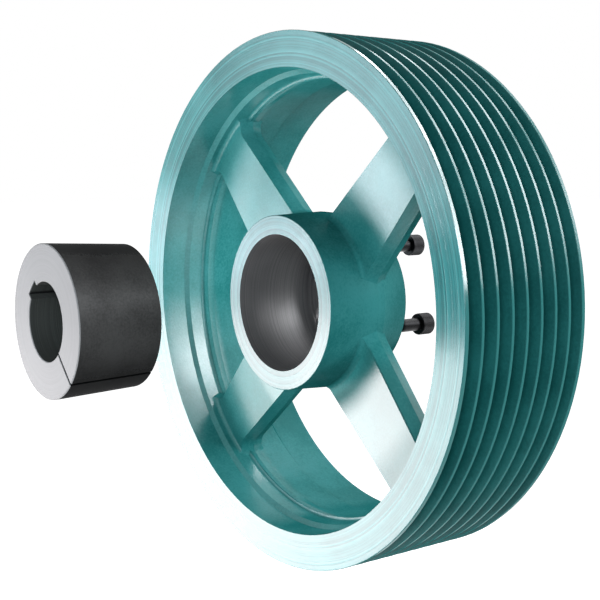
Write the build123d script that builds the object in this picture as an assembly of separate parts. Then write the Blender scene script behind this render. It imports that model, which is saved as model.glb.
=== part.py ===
from build123d import *
import math
import os

# Eight-groove V-belt sheave with a split tapered bush and three cap screws.
# All sizes are millimetres. The shaft axis is Y: the front face looks towards -Y,
# the rear face towards +Y, Z is up. The origin is on the shaft axis, midway across
# the rim. The bush and the screws stand clear of the hub, where they slide in from.

# Belt section: wedge belt grooves, 38 degrees
pitch_diameter = 560.0
groove_count = 8
groove_pitch = 19.0
first_groove = 12.5
groove_angle = 38.0
belt_pitch_width = 14.0
pitch_line_depth = 3.5
groove_depth = 17.5

# Rim: the wall is the metal left under the grooves, the steps widen it at both ends
rim_wall = 24.3
front_recess_step = 4.6
front_recess_depth = 30.4
rear_recess_step = 6.3
rear_recess_depth = 45.0

# Moulded ring round the inside of the rim, between the arms
bead_start = 54.5
bead_crest = 60.0
bead_end = 68.5
bead_height = 3.7
bead_ledge = 2.6
bead_fillet = 4.0

# Arms
arm_count = 4
arm_first_angle = 45.0
arm_front = 44.5
arm_parting = 60.0
arm_rear = 73.8
arm_half_width_at_axis = 52.2
arm_narrowing = 0.0754
arm_front_draft = 14.0
arm_rear_draft = 18.0
arm_blend = 5.0
window_hub_corner = 24.0
window_rim_corner = 15.0
window_hub_land = 1.5
window_rim_land = 0.7

# Hub
hub_front_radius = 93.0
hub_crest_radius = 96.0
hub_crest = 60.0
hub_shoulder_radius = 95.2
hub_shoulder = 69.0
hub_rear_radius = 82.6
edge_break = 0.6

# Taper seat: 1 in 12 on the diameter, wide end at the front
seat_radius = 73.05
seat_taper = 1.0 / 24.0
draw_in_room = 5.9
seat_relief_width = 1.8
seat_relief_depth = 0.9
ledge_radius = 64.5
ledge_depth = 3.0

# Flange at the back of the hub, drilled for the screws
flange_hole_radius = 40.5
screw_circle_radius = 55.0
screw_count = 3
screw_first_angle = -33.5
screw_clearance = 0.75
flange_under_head = 6.0
head_recess_depth = 9.0
head_clearance = 1.2

# Bush
bush_length = 83.6
bush_clearance = 0.05
shaft_radius = 37.5
keyway_width = 20.0
keyway_depth = 4.9
keyway_angle = 135.0
slit_width = 3.0
slit_angle = -45.0
bush_chamfer = 0.8
bush_standoff = 261.7
tapped_hole_depth = 28.0
tapped_hole_clearance = 0.1

# Cap screws
screw_radius = 8.0
screw_length = 25.0
screw_tip_chamfer = 1.6
head_radius = 12.0
head_height = 16.0
head_chamfer = 0.8
socket_across_flats = 14.0
socket_depth = 8.0
screw_standoffs = (159.0, 181.0, 170.0)

# Values that follow from the sizes above
flank_slope = math.tan(math.radians(groove_angle / 2))
rim_radius = pitch_diameter / 2 + pitch_line_depth
rim_width = 2 * first_groove + (groove_count - 1) * groove_pitch
groove_top_width = belt_pitch_width + 2 * pitch_line_depth * flank_slope
groove_floor_width = groove_top_width - 2 * groove_depth * flank_slope
front = -rim_width / 2
overrun = 5.0
rim_inner_radius = rim_radius - groove_depth - rim_wall
front_recess_radius = rim_inner_radius + front_recess_step
rear_recess_radius = rim_inner_radius + rear_recess_step
seat_length = bush_length + draw_in_room
flange_front = seat_length + seat_relief_width + ledge_depth
screw_seat = flange_front + flange_under_head
hub_length = screw_seat + head_recess_depth


def place(depth):
    """Y of a plane that lies a given depth behind the rim's front face."""
    return front + depth


def profile(points):
    """A face from (radius, depth) points, drawn in the XY plane."""
    return make_face(Polyline([(radius, place(depth)) for radius, depth in points], close=True))


def turned(*faces):
    """The solid made by turning half sections about the shaft axis."""
    whole = faces[0]
    for extra in faces[1:]:
        whole = whole + extra
    return revolve(whole, Axis.Y)


def rod(radius, start, end):
    """A cylinder about the shaft axis, from one depth to another."""
    return turned(profile([(0, start), (radius, start), (radius, end), (0, end)]))


def around(angle, radius=0.0):
    """A place on a circle about the shaft axis, measured from +X towards +Z."""
    turn = Location((0, 0, 0), (0, -angle, 0))
    return turn * Location((radius, 0, 0))


def groove_points():
    """Outline of the rim's outer face, front to rear."""
    points = []
    for number in range(groove_count):
        middle = first_groove + number * groove_pitch
        points += [
            (rim_radius, middle - groove_top_width / 2),
            (rim_radius - groove_depth, middle - groove_floor_width / 2),
            (rim_radius - groove_depth, middle + groove_floor_width / 2),
            (rim_radius, middle + groove_top_width / 2),
        ]
    return points


def rim():
    rear_start = rim_width - rear_recess_depth
    outer = [(rim_radius - edge_break, 0), (rim_radius, edge_break)]
    outer += groove_points()
    outer += [(rim_radius, rim_width - edge_break), (rim_radius - edge_break, rim_width)]
    inner = [
        (rear_recess_radius, rim_width),
        (rear_recess_radius, rear_start),
        (rim_inner_radius, rear_start - rear_recess_step),
        (rim_inner_radius, front_recess_depth + front_recess_step),
        (front_recess_radius, front_recess_depth),
        (front_recess_radius, 0),
    ]
    return turned(profile(outer + inner))


def rim_bead():
    """The ring left by the mould on the rim's inside, with a fillet in front."""
    wall = rim_inner_radius
    ledge = wall - bead_ledge
    section = profile([
        (wall + overrun, bead_start - bead_fillet),
        (wall, bead_start - bead_fillet),
        (wall, bead_start),
        (ledge, bead_start),
        (wall - bead_height, bead_crest),
        (ledge, bead_end),
        (wall + overrun, bead_end),
    ])
    return turned(section + corner_blend(wall, bead_start, bead_fillet, -1, -1))


def corner_blend(radius, depth, size, radial_side, depth_side):
    """A concave quarter-round between a turned wall and a flat face."""
    corner = (radius, place(depth))
    on_face = (radius + radial_side * size, place(depth))
    on_wall = (radius, place(depth + depth_side * size))
    centre = (on_face[0], on_wall[1])
    pull = size * math.sqrt(0.5)
    middle = (centre[0] - radial_side * pull, centre[1] - depth_side * pull)
    return make_face(Polyline([on_wall, corner, on_face]) + ThreePointArc(on_face, middle, on_wall))


def hub_radius_at(depth):
    """Radius of the hub's front cone at a depth."""
    return hub_front_radius + (hub_crest_radius - hub_front_radius) * depth / hub_crest


def web():
    """Disc from hub to rim, with its blends, before the windows are cut."""
    inside = seat_radius + overrun
    outside = rim_inner_radius + overrun
    disc = profile([(inside, arm_front), (outside, arm_front), (outside, arm_rear), (inside, arm_rear)])
    blends = [
        corner_blend(rim_inner_radius, arm_front, arm_blend, -1, -1),
        corner_blend(rim_inner_radius, arm_rear, arm_blend, -1, 1),
        corner_blend(hub_radius_at(arm_front), arm_front, arm_blend, 1, -1),
    ]
    return turned(disc, *blends)


def arm_edge_point(radius):
    """Where one side of an arm, at the parting plane, meets a circle."""
    k = arm_narrowing
    w = arm_half_width_at_axis
    root = math.sqrt((k * w) ** 2 - (1 + k * k) * (w * w - radius * radius))
    along = (k * w + root) / (1 + k * k)
    across = w - k * along
    half = math.radians(180 / arm_count)
    return (
        along * math.cos(half) + across * math.sin(half),
        along * math.sin(half) - across * math.cos(half),
    )


def window_outline():
    """One opening between two arms at the parting plane, middle along +X."""
    inner_radius = hub_shoulder_radius - window_hub_land
    outer_radius = rim_inner_radius - window_rim_land
    inner = arm_edge_point(inner_radius)
    outer = arm_edge_point(outer_radius)
    border = Polyline([inner, outer])
    border += ThreePointArc(outer, (outer_radius, 0), (outer[0], -outer[1]))
    border += Polyline([(outer[0], -outer[1]), (inner[0], -inner[1])])
    border += ThreePointArc((inner[0], -inner[1]), (inner_radius, 0), inner)
    outline = make_face(border)
    outline = fillet(outline.vertices().sort_by(Axis.X)[:2], window_hub_corner)
    return fillet(outline.vertices().sort_by(Axis.X)[-2:], window_rim_corner)


def window():
    """Cutter for one opening: it widens both ways from the parting plane."""
    outline = window_outline()
    to_front = Plane(origin=(0, place(arm_parting), 0), x_dir=(1, 0, 0), z_dir=(0, -1, 0))
    to_rear = Plane(origin=(0, place(arm_parting), 0), x_dir=(1, 0, 0), z_dir=(0, 1, 0))
    front_reach = arm_parting - arm_front + arm_blend + 1
    rear_reach = arm_rear - arm_parting + arm_blend + 1
    front_half = extrude(to_front * outline, front_reach, taper=-arm_front_draft)
    rear_half = extrude(to_rear * outline, rear_reach, taper=-arm_rear_draft)
    return front_half + rear_half


def hub():
    return turned(profile([
        (0, 0),
        (hub_front_radius - edge_break, 0),
        (hub_front_radius, edge_break),
        (hub_crest_radius, hub_crest),
        (hub_shoulder_radius, hub_shoulder),
        (hub_rear_radius, hub_length - edge_break),
        (hub_rear_radius - edge_break, hub_length),
        (0, hub_length),
    ]))


def taper_radius(depth):
    return seat_radius - seat_taper * depth


def hub_bore():
    """Taper seat, its relief groove, the ledge and the hole for the shaft."""
    small = taper_radius(seat_length)
    relief_end = seat_length + seat_relief_width
    return turned(profile([
        (0, -overrun),
        (taper_radius(-overrun), -overrun),
        (small, seat_length),
        (small + seat_relief_depth, seat_length),
        (small + seat_relief_depth, relief_end),
        (ledge_radius, relief_end),
        (ledge_radius, flange_front),
        (flange_hole_radius, flange_front),
        (flange_hole_radius, hub_length + overrun),
        (0, hub_length + overrun),
    ]))


def screw_angles():
    return [screw_first_angle + 360 / screw_count * number for number in range(screw_count)]


def screw_hole():
    """Clearance hole through the flange with a seat for the head."""
    shank = rod(screw_radius + screw_clearance, seat_length, hub_length)
    head = rod(head_radius + head_clearance, screw_seat, hub_length + overrun)
    return shank + head


def sheave():
    casting = web()
    for number in range(arm_count):
        middle = arm_first_angle + (number + 0.5) * 360 / arm_count
        casting = casting - around(middle) * window()
    casting = casting + rim() + rim_bead() + hub()
    casting = casting - hub_bore()
    for angle in screw_angles():
        casting = casting - around(angle, screw_circle_radius) * screw_hole()
    return casting


def bush():
    """Split bush, drawn seated in the hub and then moved out to its place."""
    wide = taper_radius(0) - bush_clearance
    narrow = taper_radius(bush_length) - bush_clearance
    body = turned(profile([
        (shaft_radius, 0),
        (wide - bush_chamfer, 0),
        (wide - seat_taper * bush_chamfer, bush_chamfer),
        (narrow + seat_taper * bush_chamfer, bush_length - bush_chamfer),
        (narrow - bush_chamfer, bush_length),
        (shaft_radius, bush_length),
    ]))
    keyway_top = shaft_radius + keyway_depth
    middle = place(bush_length / 2)
    key = Pos(keyway_top / 2, middle, 0) * Box(keyway_top, bush_length + 2 * overrun, keyway_width)
    slit = Pos(seat_radius / 2 + overrun, middle, 0) * Box(
        seat_radius + 2 * overrun, bush_length + 2 * overrun, slit_width)
    body = body - around(keyway_angle) * key - around(slit_angle) * slit
    tapped = rod(screw_radius + tapped_hole_clearance, bush_length - tapped_hole_depth, bush_length + overrun)
    for angle in screw_angles():
        body = body - around(angle, screw_circle_radius) * tapped
    return Pos(0, -bush_standoff, 0) * body


def cap_screw(angle, standoff):
    """Socket head cap screw, pointing at the front, head underside at the standoff."""
    tip = standoff - screw_length
    top = standoff + head_height
    body = turned(profile([
        (0, tip),
        (screw_radius - screw_tip_chamfer, tip),
        (screw_radius, tip + screw_tip_chamfer),
        (screw_radius, standoff),
        (head_radius, standoff),
        (head_radius, top - head_chamfer),
        (head_radius - head_chamfer, top),
        (0, top),
    ]))
    mouth = Plane(origin=(0, place(top), 0), x_dir=(1, 0, 0), z_dir=(0, -1, 0))
    socket = extrude(mouth * RegularPolygon(socket_across_flats / 2, 6, major_radius=False), socket_depth)
    return around(angle, screw_circle_radius) * (body - socket)


def save(shape, name):
    export_step(Part([shape]) if isinstance(shape, Solid) else shape, f"parts/{name}.step")
    print(name, len(shape.solids()), "solid", round(shape.volume))


os.makedirs("parts", exist_ok=True)
save(sheave(), "sheave")
save(bush(), "tapered_bush")
for index, angle in enumerate(screw_angles()):
    save(cap_screw(angle, screw_standoffs[index]), f"cap_screw_{index + 1}")
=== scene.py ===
import math

import bpy
from mathutils import Matrix, Vector


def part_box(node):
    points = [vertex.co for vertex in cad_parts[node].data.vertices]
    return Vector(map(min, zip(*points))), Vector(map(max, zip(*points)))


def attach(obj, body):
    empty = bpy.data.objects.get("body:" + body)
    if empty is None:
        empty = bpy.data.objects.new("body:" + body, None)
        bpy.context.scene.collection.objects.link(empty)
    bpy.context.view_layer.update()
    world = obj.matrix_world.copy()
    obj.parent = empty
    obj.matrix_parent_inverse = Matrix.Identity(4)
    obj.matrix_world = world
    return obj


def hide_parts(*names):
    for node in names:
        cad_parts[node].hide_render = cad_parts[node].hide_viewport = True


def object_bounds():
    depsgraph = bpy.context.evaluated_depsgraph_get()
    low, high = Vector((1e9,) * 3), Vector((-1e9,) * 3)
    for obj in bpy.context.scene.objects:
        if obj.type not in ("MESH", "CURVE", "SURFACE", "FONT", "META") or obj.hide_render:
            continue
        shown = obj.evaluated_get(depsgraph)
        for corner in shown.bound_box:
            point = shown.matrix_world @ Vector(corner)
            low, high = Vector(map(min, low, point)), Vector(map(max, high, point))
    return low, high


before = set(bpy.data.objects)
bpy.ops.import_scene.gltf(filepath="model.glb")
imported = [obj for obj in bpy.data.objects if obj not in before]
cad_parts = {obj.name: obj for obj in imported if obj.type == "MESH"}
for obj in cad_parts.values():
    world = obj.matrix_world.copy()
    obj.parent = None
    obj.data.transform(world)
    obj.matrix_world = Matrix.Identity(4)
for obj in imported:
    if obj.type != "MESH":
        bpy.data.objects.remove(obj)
cadLow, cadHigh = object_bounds()
scene = bpy.context.scene
print("frame loaded:", sorted(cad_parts))


# Helpers for node trees

def addNode(tree, kind, at, inputs=None, **settings):
    made = tree.nodes.new(kind)
    made.location = at
    for name, value in settings.items():
        setattr(made, name, value)
    for name, value in (inputs or {}).items():
        if isinstance(value, bpy.types.NodeSocket):
            tree.links.new(value, made.inputs[name])
        else:
            made.inputs[name].default_value = value
    return made


def mathNode(tree, operation, at, *values):
    return addNode(tree, "ShaderNodeMath", at, dict(enumerate(values)), operation=operation).outputs[0]


def mixColour(tree, at, amount, first, second):
    inputs = {0: amount, 6: first, 7: second}
    return addNode(tree, "ShaderNodeMix", at, inputs, data_type="RGBA").outputs[2]


def mixValue(tree, at, amount, first, second):
    inputs = {0: amount, 2: first, 3: second}
    return addNode(tree, "ShaderNodeMix", at, inputs, data_type="FLOAT").outputs[0]


def fade(tree, at, value, low, high, first=0.0, second=1.0):  # smooth step from one value to another
    inputs = {"Value": value, "From Min": low, "From Max": high, "To Min": first, "To Max": second}
    return addNode(tree, "ShaderNodeMapRange", at, inputs, interpolation_type="SMOOTHSTEP").outputs[0]


def noise(tree, at, inputs, scale, detail, rough, **settings):
    inputs = {**inputs, "Scale": scale, "Detail": detail, "Roughness": rough}
    return addNode(tree, "ShaderNodeTexNoise", at, inputs, **settings).outputs[0]


def shaded(tree, at, colour, share):  # a colour times a value
    inputs = {0: colour, "Scale": share}
    return addNode(tree, "ShaderNodeVectorMath", at, inputs, operation="SCALE").outputs[0]


def newGroup(name, inputs, outputs):
    group = bpy.data.node_groups.new(name, "ShaderNodeTree")
    for label, kind, value in inputs:
        group.interface.new_socket(label, in_out="INPUT", socket_type=kind).default_value = value
    for label, kind in outputs:
        group.interface.new_socket(label, in_out="OUTPUT", socket_type=kind)
    source = addNode(group, "NodeGroupInput", (-1200, 0))
    result = addNode(group, "NodeGroupOutput", (900, 0))
    return group, source.outputs, result.inputs


def useGroup(tree, group, at, inputs):
    return addNode(tree, "ShaderNodeGroup", at, inputs, node_tree=group).outputs


def newMaterial(name):
    material = bpy.data.materials.new(name)
    material.use_nodes = True
    tree = material.node_tree
    tree.nodes.clear()
    output = addNode(tree, "ShaderNodeOutputMaterial", (900, 0))
    shader = addNode(tree, "ShaderNodeBsdfPrincipled", (600, 0))
    tree.links.new(shader.outputs["BSDF"], output.inputs["Surface"])
    return material, tree, shader


def addBump(tree, shader, height, strength, depth):
    inputs = {"Strength": strength, "Distance": depth, "Height": height}
    bump = addNode(tree, "ShaderNodeBump", (250, -400), inputs)
    tree.links.new(bump.outputs["Normal"], shader.inputs["Normal"])


# Helpers for shape trees

sharpAngle = math.radians(30)  # edges that turn further stay sharp
weldGap = 0.00001  # points nearer than this become one, in metres
lyingDown = (math.radians(90), 0.0, 0.0)  # lays an upright shape along the shaft


def newShape(name, inputs):  # a tree that makes one mesh from named sizes
    tree = bpy.data.node_groups.new(name, "GeometryNodeTree")
    for label, kind in inputs:
        tree.interface.new_socket(label, in_out="INPUT", socket_type=kind)
    tree.interface.new_socket("Mesh", in_out="OUTPUT", socket_type="NodeSocketGeometry")
    source = addNode(tree, "NodeGroupInput", (-1800, 0))
    result = addNode(tree, "NodeGroupOutput", (1600, 0))
    return tree, source.outputs, result.inputs


def planInputs(plan):  # a named input for each size and count of a plan
    kinds = {float: "NodeSocketFloat", int: "NodeSocketInt"}
    return [(label, kinds[type(value)]) for label, value in plan.items()]


def point(tree, at, x, y, z):
    return addNode(tree, "ShaderNodeCombineXYZ", at, {0: x, 1: y, 2: z}).outputs[0]


def turnedProfile(tree, at, corners):  # a line through (radius, depth) corners, in the plane of the axis
    chosen = addNode(tree, "GeometryNodeIndexSwitch", (at[0] + 300, at[1]), data_type="VECTOR")
    while len(chosen.index_switch_items) < len(corners):
        chosen.index_switch_items.new()
    tree.links.new(addNode(tree, "GeometryNodeInputIndex", at).outputs[0], chosen.inputs[0])
    for number, (radius, depth) in enumerate(corners):
        corner = point(tree, (at[0], at[1] - 120 * (number + 1)), radius, depth, 0.0)
        tree.links.new(corner, chosen.inputs[number + 1])
    line = addNode(tree, "GeometryNodeMeshLine", (at[0] + 300, at[1] + 260), {"Count": len(corners)})
    inputs = {"Geometry": line.outputs[0], "Position": chosen.outputs[0]}
    return addNode(tree, "GeometryNodeSetPosition", (at[0] + 500, at[1]), inputs).outputs[0]


def makeTurnedShape():  # turns a profile line about the Y axis and closes its seam and poles
    tree, given, result = newShape(
        "turnedShape", [("Profile", "NodeSocketGeometry"), ("Segments", "NodeSocketInt")])
    corners = addNode(tree, "GeometryNodeAttributeDomainSize", (-1500, 200), {0: given["Profile"]})
    across = mathNode(tree, "ADD", (-1500, -50), given["Segments"], 1.0)
    grid = addNode(tree, "GeometryNodeMeshGrid", (-1200, 200),
                   {"Vertices X": corners.outputs["Point Count"], "Vertices Y": across})
    index = addNode(tree, "GeometryNodeInputIndex", (-1500, -250)).outputs[0]
    row = mathNode(tree, "FLOOR", (-1000, -100), mathNode(tree, "DIVIDE", (-1200, -100), index, across))
    column = mathNode(tree, "MODULO", (-1200, -300), index, across)
    where = addNode(tree, "GeometryNodeInputPosition", (-1200, 450)).outputs[0]
    corner = addNode(tree, "GeometryNodeSampleIndex", (-800, 100),
                     {"Geometry": given["Profile"], "Value": where, "Index": row},
                     data_type="FLOAT_VECTOR", domain="POINT")
    step = mathNode(tree, "DIVIDE", (-1000, -450), -2.0 * math.pi, given["Segments"])
    angle = mathNode(tree, "MULTIPLY", (-800, -300), column, step)
    turned = addNode(tree, "ShaderNodeVectorRotate", (-550, 0),
                     {"Vector": corner.outputs[0], "Angle": angle}, rotation_type="Y_AXIS")
    placed = addNode(tree, "GeometryNodeSetPosition", (-300, 100),
                     {"Geometry": grid.outputs["Mesh"], "Position": turned.outputs[0]})
    closed = addNode(tree, "GeometryNodeMergeByDistance", (-50, 100),
                     {"Geometry": placed.outputs[0], "Distance": weldGap})
    tree.links.new(closed.outputs[0], result["Mesh"])
    return tree


turnedShape = makeTurnedShape()


def turnProfile(tree, at, profile, segments):
    inputs = {"Profile": profile, "Segments": segments}
    return addNode(tree, "GeometryNodeGroup", at, inputs, node_tree=turnedShape).outputs["Mesh"]


def cutAway(tree, at, whole, tools):
    made = addNode(tree, "GeometryNodeMeshBoolean", at, {"Mesh 1": whole}, operation="DIFFERENCE")
    for tool in tools:
        tree.links.new(tool, made.inputs["Mesh 2"])
    return made.outputs["Mesh"]


def moved(tree, at, shape, place=(0.0, 0.0, 0.0), turn=(0.0, 0.0, 0.0)):
    inputs = {"Geometry": shape, "Translation": place, "Rotation": turn}
    return addNode(tree, "GeometryNodeTransform", at, inputs).outputs[0]


def finishShape(tree, at, shape, material):  # smooth between its sharp edges, in its material
    edges = addNode(tree, "GeometryNodeInputMeshEdgeAngle", (at[0], at[1] - 200)).outputs
    sharp = mathNode(tree, "GREATER_THAN", (at[0] + 180, at[1] - 200), edges["Unsigned Angle"], sharpAngle)
    real = addNode(tree, "GeometryNodeRealizeInstances", at, {0: shape}).outputs[0]
    inputs = {"Geometry": real, "Shade Smooth": True}
    smooth = addNode(tree, "GeometryNodeSetShadeSmooth", (at[0] + 200, at[1]), inputs, domain="FACE")
    inputs = {"Geometry": smooth.outputs[0], "Selection": sharp, "Shade Smooth": False}
    creased = addNode(tree, "GeometryNodeSetShadeSmooth", (at[0] + 400, at[1]), inputs, domain="EDGE")
    inputs = {"Geometry": creased.outputs[0], "Material": material}
    return addNode(tree, "GeometryNodeSetMaterial", (at[0] + 600, at[1]), inputs).outputs[0]


def buildPiece(name, tree, sizes):  # the tree's mesh as a plain object
    holder = bpy.data.objects.new(name, bpy.data.meshes.new(name))
    scene.collection.objects.link(holder)
    maker = holder.modifiers.new(tree.name, "NODES")
    maker.node_group = tree
    for item in tree.interface.items_tree:
        if item.in_out == "INPUT":
            maker[item.identifier] = sizes[item.name]
    shown = holder.evaluated_get(bpy.context.evaluated_depsgraph_get())
    mesh = bpy.data.meshes.new_from_object(shown)
    mesh.materials.clear()  # the cuts leave an empty slot before the real one
    mesh.materials.append(sizes["Material"])
    holder.modifiers.remove(maker)
    holder.data = mesh
    mesh.name = name
    return holder


# Effects that several materials share

marksLook = {
    "wideRings": 0.3,  # as parts of the fine rings' number
    "wideShare": 0.28,
    "patches": 18.0,  # per metre
    "patchShare": 0.25,
    "toneRange": (0.36, 0.64),
}

skinLook = {
    "clouds": 14.0,  # per metre
    "grainShare": 0.35,
    "toneRange": (0.35, 0.65),
}


def makeTurnedMarks(look):  # rings that a lathe tool leaves round the Y axis
    group, given, result = newGroup(
        "turnedMarks",
        [("Position", "NodeSocketVector", (0, 0, 0)), ("Lines per metre", "NodeSocketFloat", 400.0)],
        [("Height", "NodeSocketFloat"), ("Tone", "NodeSocketFloat"), ("Radius", "NodeSocketFloat")],
    )
    parts = addNode(group, "ShaderNodeSeparateXYZ", (-1000, 0), {0: given["Position"]}).outputs
    across = mathNode(group, "MULTIPLY", (-800, 120), parts["X"], parts["X"])
    upward = mathNode(group, "MULTIPLY", (-800, -40), parts["Z"], parts["Z"])
    radius = mathNode(group, "SQRT", (-500, 60), mathNode(group, "ADD", (-650, 60), across, upward))
    travel = mathNode(group, "ADD", (-350, 0), radius, parts["Y"])  # the tool's way over faces and walls
    scaled = mathNode(group, "MULTIPLY", (-200, 0), travel, given["Lines per metre"])
    fine = noise(group, (0, 120), {"W": scaled}, 1.0, 3.0, 0.6, noise_dimensions="1D")
    wide = noise(group, (0, -120), {"W": scaled}, look["wideRings"], 1.0, 0.5, noise_dimensions="1D")
    patches = noise(group, (0, -360), {"Vector": given["Position"]}, look["patches"], 2.0, 0.5)
    group.links.new(fine, result["Height"])
    rings = mixValue(group, (250, -60), look["wideShare"], fine, wide)
    worn = mixValue(group, (400, -160), look["patchShare"], rings, patches)  # fainter here and there
    group.links.new(fade(group, (600, -100), worn, *look["toneRange"]), result["Tone"])
    group.links.new(radius, result["Radius"])
    return group


def makeCastSkin(look):  # orange peel and clouding of sprayed paint on rough castings
    group, given, result = newGroup(
        "castSkin",
        [("Position", "NodeSocketVector", (0, 0, 0)), ("Grains per metre", "NodeSocketFloat", 400.0)],
        [("Height", "NodeSocketFloat"), ("Tone", "NodeSocketFloat")],
    )
    where = {"Vector": given["Position"]}
    grain = noise(group, (-600, 120), where, given["Grains per metre"], 3.0, 0.6)
    cloud = noise(group, (-600, -160), where, look["clouds"], 4.0, 0.6)
    group.links.new(grain, result["Height"])
    speckled = mixValue(group, (-400, -160), look["grainShare"], cloud, grain)
    group.links.new(fade(group, (-200, -160), speckled, *look["toneRange"]), result["Tone"])
    return group


turnedMarks = makeTurnedMarks(marksLook)
castSkin = makeCastSkin(skinLook)


def useMarks(tree, at, position, lines):
    return useGroup(tree, turnedMarks, at, {"Position": position, "Lines per metre": lines})


def useSkin(tree, at, position, grains):
    return useGroup(tree, castSkin, at, {"Position": position, "Grains per metre": grains})


# Sheave: teal enamel over iron, with fine rings where it was turned, and a bare bore

sheaveLook = {
    # tones, the darkest and the palest
    "castTones": ((0.012, 0.128, 0.124, 1.0), (0.034, 0.190, 0.188, 1.0)),
    "faceTones": ((0.004, 0.092, 0.094, 1.0), (0.034, 0.215, 0.218, 1.0)),
    # painted shade in the grooves: the flanks' tones are darker than the rest of the paint
    "flankShadeTones": ((0.003, 0.056, 0.054, 1.0), (0.009, 0.090, 0.086, 1.0)),
    "landTone": (0.026, 0.135, 0.130, 1.0),
    "boreTones": ((0.096, 0.093, 0.094, 1.0), (0.150, 0.144, 0.144, 1.0)),
    # painted shade and light: what the tones are multiplied by on the hub's face, ends and back, one arm and
    # the rim's inner wall
    "hubFaceShade": 0.64,
    "hubEndShade": 0.62,
    "hubBackShade": 0.76,
    "armShade": 0.66,
    "wallShade": (1.4, 1.08),
    # roughness, metal and relief
    "castRough": 0.27,
    "faceRough": 0.22,
    "flankRough": 0.40,
    "landRough": 0.16,
    "boreRough": 0.48,
    "boreMetal": 0.45,
    "ior": 1.5,
    "faceLines": 500.0,  # per metre
    "boreLines": 1500.0,
    "grains": 380.0,
    "relief": 0.0003,  # in metres
    "castRelief": 0.45,  # as parts of the relief
    "faceRelief": 0.5,
    "boreRelief": 0.25,
    # gloss as a specular level, from one end of its fade to the other, set by place for painted highlights
    # and painted shade in the reflections
    "edgeGloss": (0.5, 0.0),
    "flankGloss": 0.16,
    "landGloss": (0.34, 0.03),
    "frontLandGloss": (1.6, 0.8),
    "lowLandGloss": 0.06,
    "hubFaceGloss": (0.95, 1.42),
    "hubGloss": (0.5, 0.06),
    "wallGloss": (1.75, 0.35),
    "footGloss": 0.45,
    "rearWallGloss": 0.08,
    "armGloss": {  # by radius: where it rises, from and to, where it falls, down to
        "lowerRight": ((0.112, 0.142), (0.06, 1.42), (0.180, 0.212), 0.62),
        "upperRight": ((0.125, 0.165), (0.1, 2.65), (0.183, 0.220), 0.32),
        "lowerLeft": ((0.165, 0.200), (0.8, 1.6), (0.134, 0.148), 0.45),
        "upperLeft": ((0.140, 0.205), (0.8, 1.7), (0.225, 0.235), 1.0),
    },
    # where those fades lie: by facing angle, radius, X, Y or Z
    "edgeFacing": (0.50, 0.70),
    "grooveFacing": (0.74, 0.86),
    "hubReach": (0.097, 0.103),
    "offHub": (0.100, 0.112),
    "wallReach": (0.228, 0.236),
    "rightHalf": (0.0, 0.04),
    "hubFaceSides": (0.0, 0.085),
    "wallLeft": (-0.25, -0.19),
    "hubBack": (-0.03, 0.02),
    "wallDepth": (-0.03, 0.0),
    "upperHalf": (-0.02, 0.03),
    "hubEnds": (0.040, 0.072),
    "hubTop": (0.040, 0.062),
    "landMiddle": (0.02, 0.08),
    "landTop": (0.16, 0.23),
    "frontLandTop": (0.22, 0.25),
    "wallTop": (0.06, 0.13),
    "wallFoot": (-0.17, -0.12),
    # where one kind of surface ends
    "frontFace": -0.0789,
    "rearFace": 0.0788,
    "frontLand": -0.0720,
    "armFront": -0.0325,
    "boreEnd": 0.0290,
    "grooveFloor": 0.2655,
    "landRadius": 0.2828,
    "hubFaceReach": 0.115,
    "boreRadius": 0.0745,
}


def makeSheaveMasks(tree, look, place, radius):  # kinds of surface, and the parts that differ in gloss
    front = mathNode(tree, "LESS_THAN", (-1050, 500), place["Y"], look["frontFace"])
    rear = mathNode(tree, "GREATER_THAN", (-1050, 380), place["Y"], look["rearFace"])
    faced = mathNode(tree, "MAXIMUM", (-850, 440), front, rear)
    outer = mathNode(tree, "GREATER_THAN", (-1050, 260), radius, look["grooveFloor"])
    between = mathNode(tree, "SUBTRACT", (-750, 380), 1.0, faced)
    narrow = mathNode(tree, "LESS_THAN", (-1050, 60), radius, look["boreRadius"])
    inside = mathNode(tree, "LESS_THAN", (-1050, -60), place["Y"], look["boreEnd"])
    bored = mathNode(tree, "MULTIPLY", (-750, 0), narrow, inside)
    behind = mathNode(tree, "SUBTRACT", (-950, 0), 1.0, front)
    return {
        "faced": faced,
        "hubFaced": mathNode(tree, "LESS_THAN", (-850, -180), radius, look["hubFaceReach"]),
        "grooved": mathNode(tree, "MULTIPLY", (-650, 300), outer, between),
        "land": mathNode(tree, "GREATER_THAN", (-850, 180), radius, look["landRadius"]),
        "bore": mathNode(tree, "MULTIPLY", (-650, 0), bored, behind),
        "wall": fade(tree, (-850, -300), radius, *look["wallReach"]),
        "right": fade(tree, (-850, -450), place["X"], *look["rightHalf"]),
        "upper": fade(tree, (-850, -600), place["Z"], *look["upperHalf"]),
    }


# painted shade and light on the castings' tone
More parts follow.
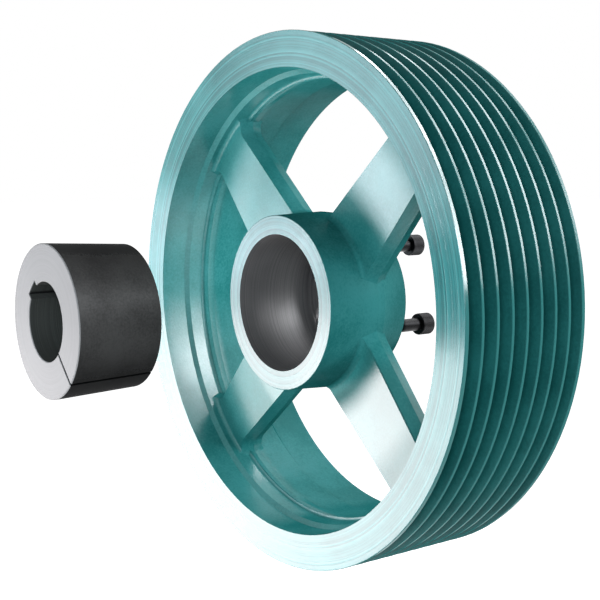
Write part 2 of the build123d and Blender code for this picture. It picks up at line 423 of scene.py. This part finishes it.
def makeCastShade(tree, look, place, radius, masks):
    # painted shade: darker on the hub's top, foot and rear
    height = mathNode(tree, "ABSOLUTE", (-1500, 1100), place["Z"])
    ends = fade(tree, (-1300, 1100), height, *look["hubEnds"], 1.0, look["hubEndShade"])
    back = fade(tree, (-1300, 950), place["Y"], *look["hubBack"], 1.0, look["hubBackShade"])
    onHub = mathNode(tree, "MULTIPLY", (-1100, 1100), ends, back)
    hub = fade(tree, (-900, 1100), radius, *look["hubReach"], onHub, 1.0)

    # painted shade: darker on the lower right arm's front
    front = mathNode(tree, "LESS_THAN", (-1500, 650), place["Y"], look["armFront"])
    beyond = fade(tree, (-1500, 200), radius, *look["offHub"])
    offHub = mathNode(tree, "MULTIPLY", (-1400, 650), front, beyond)
    lower = mathNode(tree, "SUBTRACT", (-1500, 500), 1.0, masks["upper"])
    corner = mathNode(tree, "MULTIPLY", (-1400, 500), lower, masks["right"])
    onArm = mathNode(tree, "MULTIPLY", (-1300, 500), corner, offHub)
    darkArm = mathNode(tree, "MULTIPLY", (-1200, 350), hub, look["armShade"])
    arm = mixValue(tree, (-1100, 500), onArm, hub, darkArm)

    # painted light: paler on the rim's inner wall, most on the left
    onWall = fade(tree, (-1300, 800), place["X"], *look["wallLeft"], *look["wallShade"])
    return mixValue(tree, (-700, 950), masks["wall"], arm, onWall)


def makeGrooveGloss(tree, look, place, masks, facing):  # bright lands, dull flanks; the lands' gloss falls lower down, painted shade in their reflections
    firstLand = mathNode(tree, "LESS_THAN", (-1000, -1000), place["Y"], look["frontLand"])
    laterGloss = fade(tree, (-1000, -1100), place["Z"], *look["landTop"], *look["landGloss"])
    firstGloss = fade(tree, (-1000, -1200), place["Z"], *look["frontLandTop"], *look["frontLandGloss"])
    landGloss = mixValue(tree, (-800, -1000), firstLand, laterGloss, firstGloss)
    upperLand = fade(tree, (-800, -1100), place["Z"], *look["landMiddle"], look["lowLandGloss"], 1.0)
    litLand = mathNode(tree, "MULTIPLY", (-600, -1000), landGloss, upperLand)
    bandGloss = mixValue(tree, (-400, -1000), masks["land"], look["flankGloss"], litLand)
    grooveEdge = fade(tree, (-600, -1250), facing, *look["grooveFacing"], 1.0, 0.0)
    return mathNode(tree, "MULTIPLY", (-200, -1000), bandGloss, grooveEdge)


def makeFaceGloss(tree, look, place, masks, edgeGloss):  # painted highlight: the hub's face is glossier on the right
    hubShine = fade(tree, (-800, -1550), place["X"], *look["hubFaceSides"], *look["hubFaceGloss"])
    faceShine = mixValue(tree, (-600, -1400), masks["hubFaced"], 1.0, hubShine)
    return mathNode(tree, "MULTIPLY", (-400, -1400), faceShine, edgeGloss)


# painted highlights: each arm's gloss rises and falls along its length
def makeArmGloss(tree, look, radius, masks):
    arms = {}
    for spot, (name, (rise, level, fall, rest)) in enumerate(look["armGloss"].items()):
        rising = fade(tree, (-800, -2200 - 300 * spot), radius, *rise, *level)
        falling = fade(tree, (-800, -2350 - 300 * spot), radius, *fall, 1.0, rest)
        arms[name] = mathNode(tree, "MULTIPLY", (-600, -2200 - 300 * spot), rising, falling)
    rightArms = mixValue(tree, (-400, -2200), masks["upper"], arms["lowerRight"], arms["upperRight"])
    leftArms = mixValue(tree, (-400, -2500), masks["upper"], arms["lowerLeft"], arms["upperLeft"])
    return mixValue(tree, (-200, -2200), masks["right"], leftArms, rightArms)


def makeWallGloss(tree, look, place):  # the rim's inner wall: painted highlight above, painted shade in the reflections at its foot and rear
    upperWall = fade(tree, (-800, -3500), place["Z"], *look["wallTop"], *look["wallGloss"])
    foot = fade(tree, (-800, -3650), place["Z"], *look["wallFoot"], look["footGloss"], 1.0)
    frontWall = mathNode(tree, "MULTIPLY", (-600, -3500), upperWall, foot)
    return fade(tree, (-400, -3500), place["Y"], *look["wallDepth"], frontWall, look["rearWallGloss"])


def makeSheaveGloss(tree, look, place, radius, masks):  # specular level set by place: painted highlights, and painted shade in the reflections
    facing = addNode(tree, "ShaderNodeLayerWeight", (-1000, -850), {"Blend": 0.5}).outputs["Facing"]
    edgeGloss = fade(tree, (-800, -650), facing, *look["edgeFacing"], *look["edgeGloss"])  # none edge on
    grooveGloss = makeGrooveGloss(tree, look, place, masks, facing)
    faceGloss = makeFaceGloss(tree, look, place, masks, edgeGloss)
    # painted shade: the hub's gloss falls away at its top
    hubLevel = fade(tree, (-800, -1700), place["Z"], *look["hubTop"], *look["hubGloss"])
    hub = fade(tree, (-600, -1700), radius, *look["hubReach"], hubLevel, 1.0)
    hubGloss = mathNode(tree, "MULTIPLY", (-200, -1700), edgeGloss, hub)
    armGloss = makeArmGloss(tree, look, radius, masks)
    roundGloss = mixValue(tree, (-200, -3500), masks["wall"], armGloss, makeWallGloss(tree, look, place))
    castGloss = mathNode(tree, "MULTIPLY", (0, -1700), hubGloss, roundGloss)
    smoothGloss = mixValue(tree, (150, -1400), masks["faced"], castGloss, faceGloss)
    return mixValue(tree, (300, -1000), masks["grooved"], smoothGloss, grooveGloss)


def bySurface(tree, at, mix, masks, cast, faced, grooved, bored):  # one value or colour for each kind
    painted = mix(tree, at, masks["faced"], cast, faced)
    rounds = mix(tree, (at[0] + 150, at[1]), masks["grooved"], painted, grooved)
    return mix(tree, (at[0] + 300, at[1]), masks["bore"], rounds, bored)


def makeSheaveMaterial(look):
    material, tree, shader = newMaterial("tealEnamel")
    position = addNode(tree, "ShaderNodeTexCoord", (-1700, 0)).outputs["Object"]
    place = addNode(tree, "ShaderNodeSeparateXYZ", (-1500, 300), {0: position}).outputs
    marks = useMarks(tree, (-1500, 0), position, look["faceLines"])
    boring = useMarks(tree, (-1500, -150), position, look["boreLines"])
    skin = useSkin(tree, (-1500, -300), position, look["grains"])
    radius = marks["Radius"]
    masks = makeSheaveMasks(tree, look, place, radius)

    sprayed = mixColour(tree, (-600, 750), skin["Tone"], *look["castTones"])
    castTone = shaded(tree, (-400, 600), sprayed, makeCastShade(tree, look, place, radius, masks))
    rimTone = mixColour(tree, (-700, 450), marks["Tone"], *look["faceTones"])
    # painted shade: the hub's face is darker than the rest of the turned face
    faceShade = mixValue(tree, (-700, 600), masks["hubFaced"], 1.0, look["hubFaceShade"])
    faceTone = shaded(tree, (-400, 450), rimTone, faceShade)
    # painted shade in the grooves: the flanks darker than the rest of the paint
    shadedFlankTone = mixColour(tree, (-600, 300), skin["Tone"], *look["flankShadeTones"])
    grooveTone = mixColour(tree, (-400, 300), masks["land"], shadedFlankTone, look["landTone"])
    boreTone = mixColour(tree, (-400, 150), boring["Tone"], *look["boreTones"])
    colour = bySurface(tree, (-200, 400), mixColour, masks, castTone, faceTone, grooveTone, boreTone)
    tree.links.new(colour, shader.inputs["Base Color"])

    grooveRough = mixValue(tree, (-400, 0), masks["land"], look["flankRough"], look["landRough"])
    rough = bySurface(tree, (-200, 0), mixValue, masks,
                      look["castRough"], look["faceRough"], grooveRough, look["boreRough"])
    tree.links.new(rough, shader.inputs["Roughness"])
    metal = mathNode(tree, "MULTIPLY", (250, -150), masks["bore"], look["boreMetal"])
    tree.links.new(metal, shader.inputs["Metallic"])
    shader.inputs["IOR"].default_value = look["ior"]
    gloss = makeSheaveGloss(tree, look, place, radius, masks)
    tree.links.new(gloss, shader.inputs["Specular IOR Level"])

    castHeight = mathNode(tree, "MULTIPLY", (-400, -200), skin["Height"], look["castRelief"])
    faceHeight = mathNode(tree, "MULTIPLY", (-400, -300), marks["Height"], look["faceRelief"])
    boreHeight = mathNode(tree, "MULTIPLY", (-400, -400), marks["Height"], look["boreRelief"])
    height = bySurface(tree, (-200, -300), mixValue, masks, castHeight, faceHeight, 0.0, boreHeight)
    addBump(tree, shader, height, 1.0, look["relief"])
    return material


# Bush: bright faced end, dark turned outside

bushLook = {
    "faceTones": ((0.208, 0.203, 0.205, 1.0), (0.238, 0.232, 0.234, 1.0)),
    "sideTones": ((0.026, 0.026, 0.026, 1.0), (0.047, 0.047, 0.047, 1.0)),
    "boreTones": ((0.030, 0.031, 0.029, 1.0), (0.048, 0.049, 0.046, 1.0)),
    "sideHeights": (-0.05, 0.01),  # painted shade: the side is darker below
    "sideShade": (0.42, 1.0),
    "faceHeights": (-0.055, 0.035),  # painted light and shade: the face is paler below, darker above
    "faceShade": (1.09, 0.93),
    "sideRough": 0.5,
    "faceRough": 0.62,
    "sideMetal": 0.85,
    "gloss": 0.3,
    "edgeTint": (0.12, 0.12, 0.12, 1.0),  # dark oxide stays dark at its edges
    "lines": 900.0,  # per metre
    "grains": 500.0,
    "bump": 0.2,
    "relief": 0.0003,  # in metres
    "boreRadius": 0.043,
    "faceEdge": 0.0009,  # takes in the chamfer
}


def makeBushMaterial(look):
    material, tree, shader = newMaterial("turnedIron")
    position = addNode(tree, "ShaderNodeTexCoord", (-1500, 0)).outputs["Object"]
    place = addNode(tree, "ShaderNodeSeparateXYZ", (-1300, 300), {0: position}).outputs
    marks = useMarks(tree, (-1300, 0), position, look["lines"])
    skin = useSkin(tree, (-1300, -300), position, look["grains"])
    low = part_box("tapered_bush")[0].y
    face = mathNode(tree, "LESS_THAN", (-1050, 400), place["Y"], low + look["faceEdge"])
    bore = mathNode(tree, "LESS_THAN", (-1050, 250), marks["Radius"], look["boreRadius"])
    cleanSide = mixColour(tree, (-700, 300), skin["Tone"], *look["sideTones"])
    # painted shade: the side darker below
    sideShade = fade(tree, (-700, 480), place["Z"], *look["sideHeights"], *look["sideShade"])
    sideTone = shaded(tree, (-500, 300), cleanSide, sideShade)
    boreTone = mixColour(tree, (-500, 100), marks["Tone"], *look["boreTones"])
    cleanFace = mixColour(tree, (-700, -100), marks["Tone"], *look["faceTones"])
    # painted light and shade: the face paler below, darker above
    faceShade = fade(tree, (-700, -250), place["Z"], *look["faceHeights"], *look["faceShade"])
    faceTone = shaded(tree, (-500, -100), cleanFace, faceShade)
    rounds = mixColour(tree, (-350, 200), bore, sideTone, boreTone)
    tree.links.new(mixColour(tree, (-200, 200), face, rounds, faceTone), shader.inputs["Base Color"])
    rough = mixValue(tree, (-200, 0), face, look["sideRough"], look["faceRough"])
    tree.links.new(rough, shader.inputs["Roughness"])
    pale = mathNode(tree, "MAXIMUM", (-350, -200), face, bore)
    tree.links.new(mixValue(tree, (-200, -200), pale, look["sideMetal"], 0.0), shader.inputs["Metallic"])
    shader.inputs["Specular IOR Level"].default_value = look["gloss"]
    shader.inputs["Specular Tint"].default_value = look["edgeTint"]
    addBump(tree, shader, marks["Height"], look["bump"], look["relief"])
    return material


# Cap screws: black oxide

screwLook = {
    "tones": ((0.004, 0.004, 0.0045, 1.0), (0.010, 0.010, 0.011, 1.0)),
    "rough": 0.36,
    "metal": 0.8,
    "grains": 700.0,  # per metre
    "bump": 0.2,
    "relief": 0.0002,  # in metres
}


def makeScrewMaterial(look):
    material, tree, shader = newMaterial("blackOxide")
    position = addNode(tree, "ShaderNodeTexCoord", (-1500, 0)).outputs["Object"]
    skin = useSkin(tree, (-1300, -300), position, look["grains"])
    tone = mixColour(tree, (-200, 200), skin["Tone"], *look["tones"])
    tree.links.new(tone, shader.inputs["Base Color"])
    shader.inputs["Metallic"].default_value = look["metal"]
    shader.inputs["Roughness"].default_value = look["rough"]
    addBump(tree, shader, skin["Height"], look["bump"], look["relief"])
    return material


# Bush: turned on a 1 in 12 taper, then slit, keyed and tapped

bushPlan = {
    "Front radius": 0.07278,  # 0.22 mm under the solid's, so that the seat's facets clear it
    "Taper": 1 / 24,
    "Length": 0.0836,
    "Shaft radius": 0.0375,
    "Edge chamfer": 0.0008,
    "Bore chamfer": 0.0006,
    "Keyway width": 0.0200,
    "Keyway top": 0.0424,
    "Keyway angle": math.radians(135),
    "Slit width": 0.0030,
    "Slit angle": math.radians(-45),
    "Slit reach": 1.1,  # as parts of the front radius
    "Cutter length": 1.2,  # as parts of the bush's
    "Hole radius": 0.0081,
    "Hole circle": 0.0550,
    "Hole depth": 0.0280,
    "First hole angle": math.radians(-33.5),
    "Holes": 3,
    "Hole sides": 40,
    "Segments": 192,
}


def makeBushBody(tree, given):  # a tapered tube with broken edges
    length = given["Length"]
    chamfer, boreChamfer = given["Edge chamfer"], given["Bore chamfer"]
    narrowing = mathNode(tree, "MULTIPLY", (-1600, 500), length, given["Taper"])
    rearRadius = mathNode(tree, "SUBTRACT", (-1400, 500), given["Front radius"], narrowing)
    wide = mathNode(tree, "SUBTRACT", (-1400, 350), given["Front radius"], chamfer)
    narrow = mathNode(tree, "SUBTRACT", (-1400, 200), rearRadius, chamfer)
    rearEdge = mathNode(tree, "SUBTRACT", (-1400, 50), length, chamfer)
    mouth = mathNode(tree, "ADD", (-1400, -100), given["Shaft radius"], boreChamfer)
    rearMouth = mathNode(tree, "SUBTRACT", (-1400, -250), length, boreChamfer)
    profile = turnedProfile(tree, (-1100, 600), [
        (mouth, 0.0), (wide, 0.0), (given["Front radius"], chamfer), (rearRadius, rearEdge),
        (narrow, length), (mouth, length), (given["Shaft radius"], rearMouth),
        (given["Shaft radius"], boreChamfer), (mouth, 0.0)])
    return turnProfile(tree, (-400, 600), profile, given["Segments"])


def flatCutter(tree, at, given, name, reach):  # a block from the axis outwards, through both ends
    length = mathNode(tree, "MULTIPLY", (-1400, -550), given["Length"], given["Cutter length"])
    size = point(tree, (at[0] - 200, at[1]), reach, length, given[f"{name} width"])
    block = addNode(tree, "GeometryNodeMeshCube", at, {"Size": size}).outputs[0]
    outward = mathNode(tree, "DIVIDE", (at[0], at[1] - 150), reach, 2.0)
    half = mathNode(tree, "DIVIDE", (-1400, -400), given["Length"], 2.0)
    centre = point(tree, (at[0] + 200, at[1] - 150), outward, half, 0.0)
    placed = moved(tree, (at[0] + 200, at[1]), block, centre)
    back = mathNode(tree, "MULTIPLY", (at[0], at[1] - 300), given[f"{name} angle"], -1.0)
    turn = point(tree, (at[0] + 400, at[1] - 150), 0.0, back, 0.0)
    return moved(tree, (at[0] + 500, at[1]), placed, turn=turn)


def holeCutters(tree, given):  # a ring of drills into the small end
    inputs = {"Vertices": given["Holes"], "Radius": given["Hole circle"]}
    spots = addNode(tree, "GeometryNodeMeshCircle", (-1000, -900), inputs).outputs[0]
    depth = mathNode(tree, "MULTIPLY", (-1200, -1100), given["Hole depth"], 2.0)
    inputs = {"Vertices": given["Hole sides"], "Radius": given["Hole radius"], "Depth": depth}
    drill = addNode(tree, "GeometryNodeMeshCylinder", (-1000, -1100), inputs).outputs["Mesh"]
    inputs = {"Points": spots, "Instance": drill}
    ring = addNode(tree, "GeometryNodeInstanceOnPoints", (-800, -900), inputs).outputs[0]
    real = addNode(tree, "GeometryNodeRealizeInstances", (-600, -900), {0: ring}).outputs[0]
    lying = moved(tree, (-400, -900), real, turn=lyingDown)
    back = mathNode(tree, "MULTIPLY", (-600, -1100), given["First hole angle"], -1.0)
    smallEnd = point(tree, (-400, -1100), 0.0, given["Length"], 0.0)
    return moved(tree, (-200, -900), lying, smallEnd, point(tree, (-400, -1250), 0.0, back, 0.0))


def makeBushTree(plan):
    places = [("Front", "NodeSocketFloat"), ("Material", "NodeSocketMaterial")]
    tree, given, result = newShape("splitBush", planInputs(plan) + places)
    keyway = flatCutter(tree, (-800, 0), given, "Keyway", given["Keyway top"])
    beyond = mathNode(tree, "MULTIPLY", (-1000, -400), given["Front radius"], given["Slit reach"])
    slit = flatCutter(tree, (-800, -400), given, "Slit", beyond)
    cut = cutAway(tree, (200, 200), makeBushBody(tree, given), [keyway, slit, holeCutters(tree, given)])
    placed = moved(tree, (400, 200), cut, point(tree, (200, 0), 0.0, given["Front"], 0.0))
    tree.links.new(finishShape(tree, (650, 200), placed, given["Material"]), result["Mesh"])
    return tree


# Cap screws: knurled head with a hexagon socket, threaded shank

screwPlan = {
    "Head radius": 0.0120,
    "Head height": 0.0160,
    "Head chamfer": 0.0008,
    "Knurl depth": 0.0003,
    "Knurls": 60,
    "Thread radius": 0.0080,
    "Root radius": 0.0069,
    "Thread pitch": 0.0020,
    "Ridge share": 0.46,  # the ridge's half width, as parts of the pitch
    "Crest share": 0.15,  # the crest's half width, as parts of the ridge's
    "Root share": 0.2,  # how far it sinks into the shank, as parts of its height
    "Steps a turn": 36,
    "Shank length": 0.0250,
    "Tip chamfer": 0.0016,
    "Socket width": 0.0140,
    "Socket depth": 0.0080,
    "Segments": 64,
}


def makeThread(tree, given, threaded):  # one ridge wound round the shank's threaded length
    turns = mathNode(tree, "DIVIDE", (-1300, -800), threaded, given["Thread pitch"])
    crest = mathNode(tree, "SUBTRACT", (-1500, -950), given["Thread radius"], given["Root radius"])
    wide = mathNode(tree, "MULTIPLY", (-1500, -1100), given["Thread pitch"], given["Ridge share"])
    thin = mathNode(tree, "MULTIPLY", (-1300, -1350), wide, given["Crest share"])
    sunk = mathNode(tree, "MULTIPLY", (-1300, -1100), crest, given["Root share"])
    under = mathNode(tree, "MULTIPLY", (-1200, -1100), sunk, -1.0)
    inputs = {"Resolution": given["Steps a turn"], "Rotations": turns, "Height": threaded,
              "Start Radius": given["Root radius"], "End Radius": given["Root radius"]}
    helix = addNode(tree, "GeometryNodeCurveSpiral", (-1000, -850), inputs)
    upright = addNode(tree, "GeometryNodeSetCurveNormal", (-800, -850), {"Curve": helix.outputs[0]})
    upright.mode = "Z_UP"
    section = addNode(tree, "GeometryNodeCurvePrimitiveQuadrilateral", (-1000, -1150), mode="POINTS")
    tooth = [
        point(tree, (-1250, -1550), under, mathNode(tree, "MULTIPLY", (-1300, -1550), wide, -1.0), 0.0),
        point(tree, (-1250, -1450), crest, mathNode(tree, "MULTIPLY", (-1300, -1450), thin, -1.0), 0.0),
        point(tree, (-1250, -1350), crest, thin, 0.0),
        point(tree, (-1250, -1250), under, wide, 0.0),
    ]
    for number, spot in enumerate(tooth):
        tree.links.new(spot, section.inputs[f"Point {number + 1}"])
    inputs = {"Curve": upright.outputs[0], "Profile Curve": section.outputs[0], "Fill Caps": True}
    ridge = addNode(tree, "GeometryNodeCurveToMesh", (-600, -900), inputs).outputs[0]
    return moved(tree, (-400, -900), ridge, turn=lyingDown)


def makeKnurl(tree, given, side, top):  # a ring of small square bars let into the head's side
    inputs = {"Vertices": given["Knurls"], "Radius": side}
    spots = addNode(tree, "GeometryNodeMeshCircle", (-1000, -1700), inputs).outputs[0]
    where = addNode(tree, "GeometryNodeInputPosition", (-1200, -1950)).outputs[0]
    outward = addNode(tree, "FunctionNodeAlignRotationToVector", (-1000, -1900), {"Vector": where}, axis="X")
    height = mathNode(tree, "SUBTRACT", (-1500, -1700), top, given["Head chamfer"])
    inputs = {"Vertices": 4, "Radius": given["Knurl depth"], "Depth": height}
    bar = addNode(tree, "GeometryNodeMeshCylinder", (-1000, -2100), inputs).outputs["Mesh"]
    inputs = {"Points": spots, "Instance": bar, "Rotation": outward.outputs[0]}
    ring = addNode(tree, "GeometryNodeInstanceOnPoints", (-700, -1800), inputs).outputs[0]
    middle = mathNode(tree, "DIVIDE", (-1300, -1700), given["Head height"], 2.0)
    return moved(tree, (-400, -1800), ring, point(tree, (-600, -1950), 0.0, middle, 0.0), lyingDown)


def makeSocket(tree, given):
    widthShare = 2.0 * math.cos(math.radians(30))  # a hexagon's width over its corners' radius
    corner = mathNode(tree, "DIVIDE", (-1500, -400), given["Socket width"], widthShare)
    depth = mathNode(tree, "MULTIPLY", (-1400, -550), given["Socket depth"], 2.0)
    inputs = {"Vertices": 6, "Radius": corner, "Depth": depth}
    hexagon = addNode(tree, "GeometryNodeMeshCylinder", (-1200, -500), inputs).outputs["Mesh"]
    headTop = point(tree, (-1100, -650), 0.0, given["Head height"], 0.0)
    return moved(tree, (-900, -500), hexagon, headTop, lyingDown)


def makeScrewTree(plan):
    places = [("Place", "NodeSocketVector"), ("Material", "NodeSocketMaterial")]
    tree, given, result = newShape("capScrew", planInputs(plan) + places)
    side = mathNode(tree, "SUBTRACT", (-1500, 500), given["Head radius"], given["Knurl depth"])
    rim = mathNode(tree, "SUBTRACT", (-1500, 350), side, given["Head chamfer"])
    top = mathNode(tree, "SUBTRACT", (-1500, 200), given["Head height"], given["Head chamfer"])
    tip = mathNode(tree, "MULTIPLY", (-1500, 50), given["Shank length"], -1.0)
    tipEnd = mathNode(tree, "ADD", (-1500, -100), tip, given["Tip chamfer"])
    tipRadius = mathNode(tree, "SUBTRACT", (-1500, -250), given["Thread radius"], given["Tip chamfer"])
    profile = turnedProfile(tree, (-1200, 600), [
        (0.0, tip), (tipRadius, tip), (given["Root radius"], tipEnd), (given["Root radius"], 0.0),
        (side, 0.0), (side, top), (rim, given["Head height"]), (0.0, given["Head height"])])
    body = turnProfile(tree, (-500, 600), profile, given["Segments"])
    headed = cutAway(tree, (-200, 500), body, [makeSocket(tree, given)])
    threaded = mathNode(tree, "MULTIPLY", (-1500, -800), tipEnd, -1.0)
    joined = addNode(tree, "GeometryNodeJoinGeometry", (100, 300))
    for part in (makeKnurl(tree, given, side, top), makeThread(tree, given, threaded), headed):
        tree.links.new(part, joined.inputs[0])
    placed = moved(tree, (300, 300), joined.outputs[0], given["Place"])
    tree.links.new(finishShape(tree, (550, 300), placed, given["Material"]), result["Mesh"])
    return tree


def standIn(piece, node, body):  # a made piece in the place of its CAD node
    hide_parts(node)
    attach(piece, body)


# Pieces in their finishes

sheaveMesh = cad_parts["sheave"].data
sheaveMesh.materials.clear()
sheaveMesh.materials.append(makeSheaveMaterial(sheaveLook))
print("sheave painted")

bushSizes = {**bushPlan, "Front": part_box("tapered_bush")[0].y, "Material": makeBushMaterial(bushLook)}
bush = buildPiece("splitTaperedBush", makeBushTree(bushPlan), bushSizes)
standIn(bush, "tapered_bush", "bush")
print("bush made")

screwTree = makeScrewTree(screwPlan)
screwMaterial = makeScrewMaterial(screwLook)
for number in (1, 2, 3):
    low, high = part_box(f"cap_screw_{number}")
    underHead = ((low.x + high.x) / 2, high.y - screwPlan["Head height"], (low.z + high.z) / 2)
    screwSizes = {**screwPlan, "Place": underHead, "Material": screwMaterial}
    screw = buildPiece(f"socketCapScrew{number}", screwTree, screwSizes)
    standIn(screw, f"cap_screw_{number}", f"screw_{number}")
print("cap screws made")


# Floor, lamps, world and camera

stageLook = {
    "floorSize": 60.0,
    "floorDrop": 0.5,  # the pulley is held by its bore, clear of the floor
    "floorColour": (0.82, 0.82, 0.82, 1.0),
    "floorGlow": 0.96,
    "ambient": 0.22,
}

lamps = [  # flat panels, each between the middles of its short ends
    {"name": "lowLeftPanel", "from": (-1.19, -0.42, -0.46), "to": (-0.53, -1.18, -0.46),
     "width": 0.62, "radiance": 10.8, "tint": (0.97, 0.925, 0.93)},
    {"name": "middleLeftPanel", "from": (-1.16, -0.49, -0.02), "to": (-0.913, -0.882, -0.02),
     "width": 0.22, "radiance": 6.7, "tint": (0.82, 0.92, 1.0)},
    {"name": "upperLeftPanel", "from": (-0.98, -0.72, 0.30), "to": (-0.56, -1.12, 0.30),
     "width": 0.42, "radiance": 4.8, "tint": (0.82, 0.92, 1.0)},
    {"name": "middleRightPanel", "from": (-1.006, -0.786, -0.025), "to": (-0.968, -0.833, -0.025),
     "width": 0.08, "radiance": 24.0, "tint": (0.86, 0.93, 1.0)},
    {"name": "frontRightPanel", "from": (1.95, -1.05, 0.45), "to": (1.15, -1.90, 0.45),
     "width": 0.9, "radiance": 10.0, "tint": (0.80, 0.93, 1.0)},
    {"name": "rearRightStrip", "from": (1.22, 0.86, 0.16), "to": (0.52, 0.87, 1.05),
     "width": 0.16, "radiance": 17.0, "tint": (0.95, 0.97, 1.0)},
    {"name": "farRightStrip", "from": (1.92, 1.20, 0.79), "to": (1.44, 1.20, 1.49),
     "width": 0.36, "radiance": 22.0, "tint": (0.93, 0.97, 1.0)},
    {"name": "rearTopStrip", "from": (0.50, 0.87, 1.09), "to": (-0.60, 0.80, 1.03),
     "width": 0.18, "radiance": 13.0, "tint": (0.95, 0.97, 1.0)},
]


def seenDirectly(tree, at):  # 1 for rays from the camera, a mirror or glass
    path = addNode(tree, "ShaderNodeLightPath", at).outputs
    seen = mathNode(tree, "MAXIMUM", (at[0] + 200, at[1]), path["Is Camera Ray"], path["Is Glossy Ray"])
    return mathNode(tree, "MAXIMUM", (at[0] + 400, at[1]), seen, path["Is Transmission Ray"])


def makeFloor(look):
    half = look["floorSize"] / 2
    level = cadLow.z - look["floorDrop"]
    mesh = bpy.data.meshes.new("studioFloor")
    corners = [(-half, -half, level), (half, -half, level), (half, half, level), (-half, half, level)]
    mesh.from_pydata(corners, [], [(0, 1, 2, 3)])
    floor = bpy.data.objects.new("studioFloor", mesh)
    scene.collection.objects.link(floor)
    material, tree, shader = newMaterial("studioWhite")
    shader.inputs["Base Color"].default_value = look["floorColour"]
    shader.inputs["Roughness"].default_value = 1.0
    shader.inputs["Specular IOR Level"].default_value = 0.0
    shader.inputs["Emission Color"].default_value = (1.0, 1.0, 1.0, 1.0)
    glow = mixValue(tree, (300, -300), seenDirectly(tree, (-400, -300)), look["ambient"], look["floorGlow"])
    tree.links.new(glow, shader.inputs["Emission Strength"])
    mesh.materials.append(material)


def makeLamp(plan):  # faces the pulley's centre
    start, end = Vector(plan["from"]), Vector(plan["to"])
    middle = (start + end) / 2
    along = (end - start).normalized()
    back = (middle - along * middle.dot(along)).normalized()
    light = bpy.data.lights.new(plan["name"], "AREA")
    light.shape = "RECTANGLE"
    light.size, light.size_y = (end - start).length, plan["width"]
    light.color = plan["tint"]
    light.energy = plan["radiance"] * math.pi * light.size * light.size_y
    lamp = bpy.data.objects.new(plan["name"], light)
    scene.collection.objects.link(lamp)
    turn = Matrix((along, back.cross(along), back)).transposed()
    lamp.matrix_world = Matrix.Translation(middle) @ turn.to_4x4()


def makeWorld(look):
    world = bpy.data.worlds.new("studioWorld")
    scene.world = world
    world.use_nodes = True
    tree = world.node_tree
    tree.nodes.clear()
    strength = mixValue(tree, (0, 0), seenDirectly(tree, (-600, 0)), look["ambient"], 1.0)
    inputs = {"Color": (1.0, 1.0, 1.0, 1.0), "Strength": strength}
    light = addNode(tree, "ShaderNodeBackground", (200, 0), inputs)
    output = addNode(tree, "ShaderNodeOutputWorld", (400, 0))
    tree.links.new(light.outputs[0], output.inputs["Surface"])


cameraPlan = {
    "at": (0.981656, -0.766085, 0.139067),
    "right": (0.604800, 0.796370, 0.003167),
    "down": (0.092327, -0.066167, -0.993528),
    "forward": (-0.791006, 0.601180, -0.113545),
    "lens": 68.04,
    "shift": (-0.03606, 0.0016),
}


def makeCamera(plan):
    data = bpy.data.cameras.new("studioCamera")
    data.lens = plan["lens"]
    data.shift_x, data.shift_y = plan["shift"]
    data.clip_start = 0.01
    data.clip_end = 100.0
    camera = bpy.data.objects.new("studioCamera", data)
    scene.collection.objects.link(camera)
    turn = Matrix((plan["right"], [-v for v in plan["down"]], [-v for v in plan["forward"]])).transposed()
    camera.matrix_world = Matrix.Translation(plan["at"]) @ turn.to_4x4()
    scene.camera = camera


makeFloor(stageLook)
for plan in lamps:
    makeLamp(plan)
makeWorld(stageLook)
makeCamera(cameraPlan)
scene.view_settings.view_transform = "Standard"
print("studio ready")
